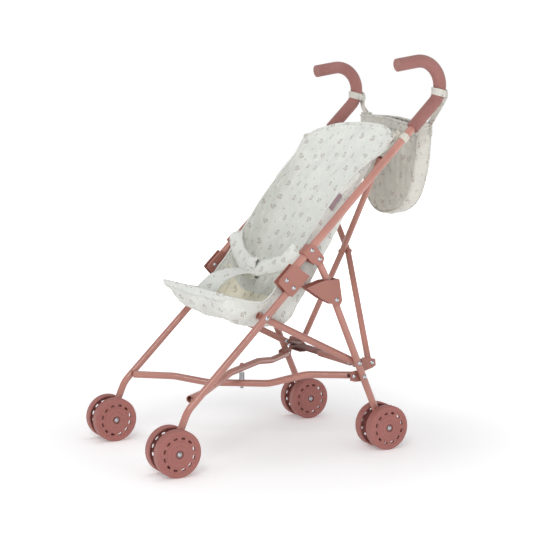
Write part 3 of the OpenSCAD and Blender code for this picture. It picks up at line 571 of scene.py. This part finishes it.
crotch, CP = ribbon("crotch_strap_soft", cp, cdir, 0.042 - 0.012 * cw_, 0.0024, m_cotton, 0.02, 13, 0.0024)
cn = np.cross(np.gradient(CP, axis=0), np.gradient(CP, axis=1)); cn /= np.linalg.norm(cn, axis=2, keepdims=True)
cs = [stitches(f"crotch_stitch_{k}_{n}", CP[2:-2, c] + cn[2:-2, c] * 0.0013 * sg, cn[2:-2, c] * sg, m_thread) for k, c in enumerate((1, 11)) for n, sg in (("a", 1), ("b", -1))]
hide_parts("crotch_strap")
# turned-over loop that carries the waist strap
lp = pth([(10, 2.4, 256), (10, 0.5, 247), (10, 3.5, 241), (10, 9, 241.5), (10, 11.5, 250), (10, 12.2, 261), (10, 10.6, 268.6), (10, 6.2, 268.4), (10, 3.4, 262), (10, 2.4, 256)], 50)
loop, _ = ribbon("crotch_loop", lp, np.array([1.0, 0, 0]), 0.029, 0.0014, m_cotton, 0.01)

# ---------------------------------------------------------------- elastic loops round the handle tubes
handles = {}
for s, sx in (("left", 1), ("right", -1)):
    lo, hi = bx(f"elastic_loop_{s}")
    c = (lo + hi) / 2
    c[0] = sx * XS
    hr = 5.5
    th = np.linspace(0, 2 * np.pi, 41)
    Pn = []
    for a, q in enumerate(np.linspace(-5.2, 5.2, 8)):
        rr = hr + 0.75 + 0.2 * np.cos(q)
        Pn.append([(c + U * (q + 0.5 * np.sin(2 * x_)) + rr * (np.cos(x_) * np.array([1.0, 0, 0]) + np.sin(x_) * N)) / 1000 for x_ in th])
    Pn = np.array(Pn)
    o = thick_sheet(f"elastic_ring_{s}", Pn, m_elastic, 0.0009)
    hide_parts(f"elastic_loop_{s}")
    # tail from the ring to the corner of the sling
    corner = Pm[3, -2 if sx > 0 else 1] * 1000
    a0 = c + N * (hr + 1.2) + np.array([-sx * 2.0, 0, 0])
    pts = [a0 - N * 2.2 + np.array([-sx * 3.4, 0, 0]), a0 + N * 3 + np.array([-sx * 4.5, 0, 0]), (a0 + corner) / 2 + N * 3, corner + N * 1.5]
    tail = np.array(smooth_path(pts, 24)) / 1000
    tl_, TP = ribbon(f"elastic_tail_{s}", tail, U, 0.0075, 0.0011, m_elastic, 0.03)
    handles[s] = [o, tl_]
    # eyelet ring in the corner, with the tie passing through
    ec = corner + N * 0.4
    ring = np.array([(ec + 4.2 * (np.cos(x_) * U + np.sin(x_) * np.array([sx * 0.6, -0.5, 0.45]))) / 1000 for x_ in np.linspace(0, 2 * np.pi, 33)[:-1]])
    ring = np.vstack([ring, ring[:1]])
    e = tube_along(f"tie_eyelet_{s}", ring, 0.0011, m_plain, 8, caps=False)
    kn = tube_along(f"tie_knot_{s}", np.array([(ec + np.array([sx * 1.2, 1.4 * math.sin(q * 2), 0]) + U * (2.0 * math.cos(q)) + N * (2.0 * math.sin(q) + 1.0)) / 1000 for q in np.linspace(0, 5.2, 26)]), 0.0011, m_elastic, 8)
    handles[s] += [e, kn]

# ---------------------------------------------------------------- storage bag
NBU, NBV = 96, 46
def outline(t_):
    """U outline (x, z) of the pouch from the near top corner round to the far one"""
    pts = [(88, 461), (87, 440), (84, 412), (78, 385), (68, 361), (52, 343), (28, 331.5), (2, 328), (-22, 332), (-42, 343), (-57, 361), (-67, 386), (-72, 414), (-75, 444), (-76, 478)]
    p = smooth_path([(a, b_) for a, b_ in pts], 200)
    L = np.linspace(0, 1, 200)
    return np.stack([np.interp(t_, L, p[:, 0]), np.interp(t_, L, p[:, 1])], -1)
tb = np.linspace(0, 1, NBU)
ol = outline(tb)
def fory(x): return 9.0 * np.clip(-np.asarray(x) / 76, 0, 1) ** 1.5
def topz(x): return 468.0 - 9.0 * x / 88 + 2.2 * np.cos(x / 88 * 3.0) - 1.0
def panel(name, yb, bulge, seed, sgn):
    """front or back panel: rows from the hem down to the outline"""
    Q = np.zeros((NBV, 90, 3))
    xs_ = np.linspace(-1, 1, 90)
    for j, f in enumerate(np.linspace(0, 1, NBV)):
        # point on the outline from the top corner down
        a = outline(0.5 * f); b_ = outline(1 - 0.5 * f)
        x_ = a[0] + (b_[0] - a[0]) * (xs_ * 0.5 + 0.5)
        zt = topz(x_); base = a[1] + (b_[1] - a[1]) * (xs_ * 0.5 + 0.5)
        z_ = base if f > 0 else zt
        z_ = base * 1.0
        if f < 0.12: z_ = zt * (1 - f / 0.12) + base * (f / 0.12)
        depth = bulge * np.sin(np.pi * np.clip(f * 0.9 + 0.1, 0, 1)) * (1 - np.abs(xs_) ** 3)
        pl = (0.9 + 0.9 * (1 - f)) * np.sin(x_ / 7.6 * 2 * np.pi / 1.6 + 0.9 * np.sin(f * 3 + x_ * 0.05)) * (1 - np.abs(xs_) ** 6)
        y_ = yb + sgn * (depth + pl * 0.9) + (fory(x_) if sgn < 0 else 0.4 * fory(x_))
        Q[j] = np.stack([x_, y_, z_], 1)
    q2 = Q[..., [0, 2]] / 1000
    Q[..., 1] += sgn * (waves(q2, seed, 0.02, 0.7, 12) + waves(np.stack([q2[..., 0] * 2, q2[..., 1] * 0.4], -1), seed + 1, 0.02, 0.6, 10)) * np.clip(np.linspace(0, 1, NBV) * 8, 0, 1)[:, None]
    Q[..., 1] += Y0
    Q /= 1000
    return thick_sheet(name, Q, m_bag, 0.0012), Q
bag_f, QF = panel("bag_front_panel", 233.5, 3.0, 21, -1)
bag_b, QB = panel("bag_back_panel", 254.5, 3.5, 31, 1)
# gusset strip round the outline
g = []
ins = ol.copy()
for k, f in enumerate(np.linspace(0, 1, 11)):
    b_ = 1.8 * math.sin(math.pi * f)
    cen = np.array([0, 400.0])
    d = ins - cen; d /= np.linalg.norm(d, axis=1, keepdims=True)
    y_ = 233.5 + (254.5 - 233.5) * f
    ruff = 0.7 * np.sin(tb * 150) + 0.5 * np.sin(tb * 83 + 2 * f)
    g.append(np.stack([ins[:, 0] + d[:, 0] * (b_ + ruff * math.sin(math.pi * f)), y_ + Y0 + fory(ins[:, 0]) * (1 - 0.6 * f), ins[:, 1] + d[:, 1] * (b_ + ruff * math.sin(math.pi * f))], 1) / 1000)
gus = thick_sheet("bag_gusset", np.array(g), m_bag, 0.0012)
for nm, Q, yy in (("front", QF, -1), ("back", QB, 1)):
    pass
bag_parts = [bag_b, gus]
for nm, y_, sgn in (("front", 233.5, -1), ("back", 254.5, 1)):
    seam = np.stack([ins[:, 0], y_ + Y0 + sgn * 0.8 + fory(ins[:, 0]) * (1 if sgn < 0 else 0.4), ins[:, 1]], 1) / 1000
    bag_parts.append(tube_along(f"bag_seam_{nm}", seam, 0.0014, m_bag, 8, rip=0.12, ripn=60))
# hem band round the top, gathered
xs_ = np.linspace(-76, 88, 70)
for nm, y_, sgn in (("front", 233.5, -1), ("back", 254.5, 1)):
    H = []
    for f in np.linspace(0, 1, 6):
        pl = 0.8 * np.sin(xs_ / 7.6 * 2 * np.pi / 1.6) * f
        H.append(np.stack([xs_, y_ + Y0 + fory(xs_) * (1 if sgn < 0 else 0.4) + sgn * (1.9 + 0.5 * math.sin(math.pi * f) + pl), topz(xs_) - 14 * f], 1) / 1000)
    H = np.array(H)
    bag_parts.append(thick_sheet(f"bag_hem_{nm}", H, m_bag, 0.0012))
    bag_parts.append(tube_along(f"bag_hem_fold_{nm}", H[0], 0.0019, m_bag, 8))
    bag_parts.append(stitches(f"bag_hem_stitch_{nm}", H[4] + np.array([0, sgn * 0.0007, 0]), np.array([0, float(sgn), 0]), m_thread))
for s, x0, sx in (("left", 88.0, 1), ("right", -76.0, -1)):
    yy = np.linspace(233.5 + fory(x0), 254.5 + 0.4 * fory(x0), 12)
    rim = np.stack([x0 + sx * 0.8 * np.sin(np.linspace(0, np.pi, 12)), yy + Y0, topz(x0) - 1.5 * np.sin(np.linspace(0, np.pi, 12))], 1) / 1000
    bag_parts.append(tube_along(f"bag_rim_{s}", rim, 0.0018, m_bag, 8))
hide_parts("storage_bag")
# loops from the bag's corners round the grips
for s, sx in (("left", 1), ("right", -1)):
    lo, hi = bx(f"bag_loop_{s}")
    c = (lo + hi) / 2; c[0] = sx * XS
    gr = 9.2
    th = np.linspace(0, 2 * np.pi, 45)
    rows = []
    for q in np.linspace(-6.0, 6.0, 8):
        rows.append([np.array([c[0] + (gr + 1.2 + 0.25 * math.cos(q * 0.9)) * math.cos(a), c[1] + (gr + 1.2) * math.sin(a), c[2] + q * 0.85 - 2.6 * math.sin(a + 0.45)]) / 1000 for a in th])
    lo_ = thick_sheet(f"bag_loop_band_{s}", np.array(rows), m_bag, 0.0011)
    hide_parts(f"bag_loop_{s}")
    x0 = 87.0 if sx > 0 else -75.0
    corner = np.array([x0, 251 + Y0, topz(x0) - 5.0])
    rt = np.array([0.474, 0.88, 0])
    pts = [c + 10.9 * np.array([-0.3, 0.95, 0]) + np.array([0, 0, 3]), c + 11.2 * rt + np.array([0, 0, -0.5]), c + 9.5 * rt + np.array([-sx * 3, 0, -10]), (c + corner) / 2 + 3 * rt, corner + np.array([sx * 1.5, 0, 7]), corner + np.array([sx * 0.8, 0, -7])]
    if sx > 0:
        pts = [c + 10.9 * np.array([-0.3, 0.95, 0]) + np.array([0, 0, 3]), c + 11.2 * np.array([-0.2, 0.98, 0]) + np.array([0, 0, -1]), c + 11.4 * np.array([-0.25, 0.97, 0]) + np.array([0, 0, -9]), (c + corner) / 2 + np.array([0.5, 6.5, 0]), corner + np.array([1.5, 1.0, 7]), corner + np.array([0.8, 0, -7])]
    tail = smooth_path(pts, 36) / 1000
    wt = np.linspace(0, 1, 36)
    t2, _ = ribbon(f"bag_loop_tail_{s}", tail, np.array([0.25 * sx, 0.5, 1.0])[None] * (1 - wt[:, None]) + np.array([0.9, 0.35, 0.1])[None] * wt[:, None], 0.011 - 0.004 * np.sin(wt * np.pi), 0.0012, m_bag, 0.03)
    handles[s] += [lo_]
    bag_parts.append(t2)

# ---------------------------------------------------------------- sizes of the flat cuts, computed and not used
def cut(Q):
    w = np.linalg.norm(np.diff(Q, axis=1), axis=2).sum(1).max()
    l = np.linalg.norm(np.diff(Q, axis=0), axis=2).sum(0).max()
    w, l = round(float(w), 3) + 0.001, round(float(l), 3) + 0.001
cut(Pm)
cut(QF)
cut(QB)
cut(np.array(g))

# ---------------------------------------------------------------- bodies
soft_h = [sling, *soft, waist, *ws, crotch, *cs, loop, lab_st, label, bag_f, *bag_parts]
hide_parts("seat_back", "seat_base", "seat_side_left", "seat_side_right")
for o in soft_h:
    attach(o, "handle_right")
    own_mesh(o)
for s in ("left", "right"):
    for o in handles[s]:
        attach(o, f"handle_{s}")

# ---------------------------------------------------------------- small metal details: a domed rivet head maker, not called here
def dome(name, c, axis, r, h, mat, n=20, rings=6):
    """domed rivet head with a small flat rim"""
    axis = np.array(axis, float) / np.linalg.norm(axis)
    a = np.array([0, 0, 1.0]) if abs(axis[2]) < 0.9 else np.array([0, 1.0, 0])
    e1 = np.cross(axis, a); e1 /= np.linalg.norm(e1); e2 = np.cross(axis, e1)
    prof = [(r, 0), (r, h * 0.18), (r * 0.94, h * 0.3)] + [(r * 0.94 * math.cos(q), h * (0.3 + 0.7 * math.sin(q))) for q in np.linspace(0.15, math.pi / 2 - 0.12, rings)]
    V = [c + axis * z + rr * (math.cos(t_) * e1 + math.sin(t_) * e2) for rr, z in prof for t_ in np.linspace(0, 2 * np.pi, n, endpoint=False)]
    V.append(c + axis * h); V.append(c)
    F = grid_faces(n, len(prof), close_u=True)
    k = len(V) - 2
    F += [((len(prof) - 1) * n + i, (len(prof) - 1) * n + (i + 1) % n, k) for i in range(n)] + [((i + 1) % n, i, k + 1) for i in range(n)]
    o = mesh(name, np.array(V) / 1000, F, mat)
    return o

# ---------------------------------------------------------------- floor, lights, camera
def plane(name, size, z):
    o = mesh(name, [(-size, -size, z), (size, -size, z), (size, size, z), (-size, size, z)], [(0, 1, 2, 3)], m_floor, smooth=False)
    return o
m_floor, _t, _b = nt("floor")
val(_b, "Base Color", (0.93, 0.93, 0.93, 1)); val(_b, "Roughness", 0.6); val(_b, "Specular IOR Level", 0.1)
_r = vmath(_t, "LENGTH", vmath(_t, "MULTIPLY", coords(_t), (1, 1, 0)))
val(_b, "Emission Color", (1, 1, 1, 1)); _t.links.new(rmap(_t, _r, 0.25, 1.3, 0.22, 1.0), _b.inputs["Emission Strength"])
floor = plane("floor", 9.0, -0.0002)
world = bpy.data.worlds.new("studio"); bpy.context.scene.world = world
world.use_nodes = True
bg = world.node_tree.nodes["Background"]
_t = world.node_tree
_z = _t.nodes.new("ShaderNodeSeparateXYZ"); _t.links.new(coords(_t, "Generated"), _z.inputs[0])
_t.links.new(mix(_t, rmap(_t, _z.outputs[2], 0.12, 0.34, 0, 1), (1, 1, 1), (0.46, 0.46, 0.47)), bg.inputs[0])
bg.inputs[1].default_value = 1.0
def area(name, loc, target, size, power, col=(1, 1, 1)):
    l = bpy.data.lights.new(name, "AREA"); l.shape = "SQUARE"; l.size = size; l.energy = power; l.color = col
    o = bpy.data.objects.new(name, l); bpy.context.scene.collection.objects.link(o)
    o.location = loc
    o.rotation_euler = (Vector(target) - Vector(loc)).to_track_quat("-Z", "Y").to_euler()
    return o
ctr = (0, 0, 0.28)
area("key", (1.7, -1.4, 1.9), ctr, 0.9, 21)
area("top", (-0.2, -0.2, 2.4), ctr, 1.2, 9)
area("fill", (2.0, 0.8, 0.9), ctr, 1.6, 3)

az, el, roll = math.radians(61.736), math.radians(6.131), math.radians(0.286)
d = 1.81735
back = Vector((math.sin(az) * math.cos(el), -math.cos(az) * math.cos(el), math.sin(el)))
right = Vector((math.cos(az), math.sin(az), 0))
up = back.cross(right)
right2 = right * math.cos(roll) + up * math.sin(roll)
up2 = up * math.cos(roll) - right * math.sin(roll)
target = Vector((0, (33.476 + Y0) / 1000, 0.255353))
cam_d = bpy.data.cameras.new("camera"); cam = bpy.data.objects.new("camera", cam_d)
bpy.context.scene.collection.objects.link(cam)
M = Matrix((right2, up2, back)).transposed().to_4x4()
M.translation = target + back * d
cam.matrix_world = M
cam_d.sensor_width = 36; cam_d.lens = 1264.07 / 533 * 36
cam_d.shift_x = 0.00107; cam_d.shift_y = -0.00115
cam_d.clip_start = 0.05; cam_d.clip_end = 30
bpy.context.scene.camera = cam
vs = bpy.context.scene.view_settings
vs.view_transform = "Standard"; vs.look = "None"; vs.exposure = 0.0
